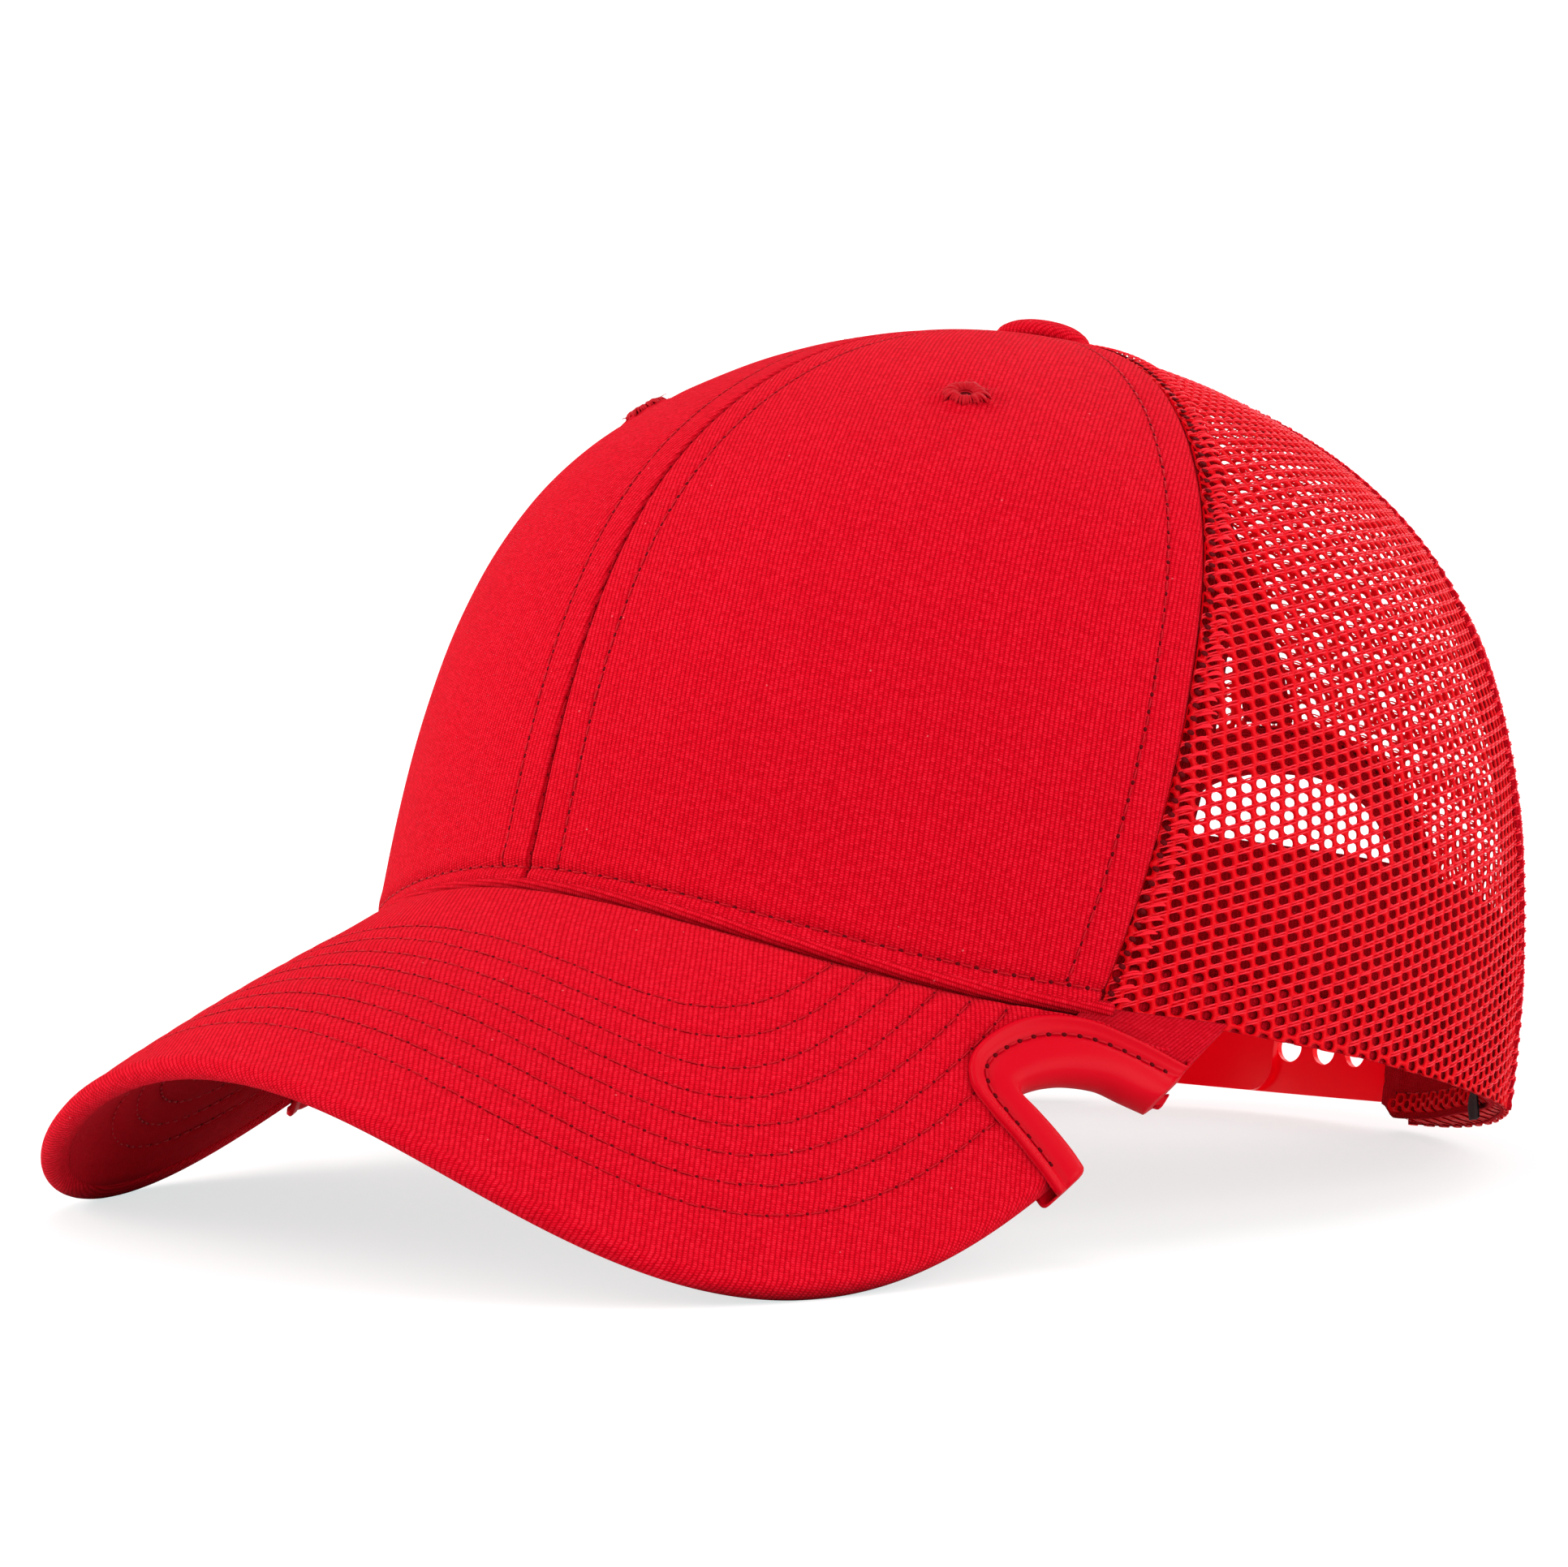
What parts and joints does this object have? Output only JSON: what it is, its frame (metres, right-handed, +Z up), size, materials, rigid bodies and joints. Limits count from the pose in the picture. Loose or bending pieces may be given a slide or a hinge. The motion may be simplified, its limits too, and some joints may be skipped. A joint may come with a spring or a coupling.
{
  "type": "trucker mesh cap",
  "caption": "Trucker cap: stiffened twill front, open mesh crown, curved visor with temple notches, snap strap at the back.",
  "frame": {"origin": "on the resting plane, on the cap's left-right symmetry plane, below the middle of the head opening", "axes": "+Z up, -Y towards the visor, +X the wearer's left; the cap is at rest on a table, leaning back on its rear hem with the visor's lowest points touching"},
  "size_m": [0.1796, 0.2557, 0.1413],
  "materials": {
    "twill": "brushed cotton twill",
    "buckram": "stiff open-weave interlining",
    "mesh": "open polyester mesh, slight shine",
    "tape": "plain woven tape",
    "sweatband": "brushed cotton twill",
    "binding": "plain woven tape",
    "board": "moulded polyethylene",
    "trim": "soft gloss moulding",
    "metal": "pressed",
    "eyelet": "embroidered thread",
    "strap": "semi-gloss moulding",
    "tag": "satin ribbon"
  },
  "bodies": {
    "crown": {"front_panel_left": "twill", "front_panel_right": "twill", "front_buckram_left": "buckram", "front_buckram_right": "buckram", "side_mesh_left": "mesh", "side_mesh_right": "mesh", "rear_mesh_left": "mesh", "rear_mesh_right": "mesh", "front_center_tape": "tape", "side_seam_tape_left": "tape", "side_seam_tape_right": "tape", "rear_seam_tape_left": "tape", "rear_seam_tape_right": "tape", "rear_center_tape": "tape", "sweatband": "sweatband", "rear_opening_binding": "binding", "visor_board": "board", "visor_under_cover": "twill", "visor_top_cover": "twill", "notch_trim_left": "trim", "notch_trim_right": "trim", "top_button": "twill", "button_rivet": "metal", "eyelet_left": "eyelet", "eyelet_right": "eyelet", "hole_strap_sewn_end": "strap", "peg_strap_sewn_end": "strap", "size_tag": "tag"},
    "hole_strap": {"hole_strap": "strap"},
    "peg_strap": {"peg_strap": "strap"}
  },
  "joints": [
    {"name": "hole_strap_hinge", "type": "hinge", "parent": "crown", "child": "hole_strap", "pos_m": [0.02928, 0.09084, 0.01306], "axis": [0, -0.1497, -0.9887], "range_deg": [0, 70]},
    {"name": "peg_strap_hinge", "type": "hinge", "parent": "crown", "child": "peg_strap", "pos_m": [-0.02872, 0.08952, 0.01326], "axis": [0, -0.1497, -0.9887], "range_deg": [0, 35]}
  ]
}
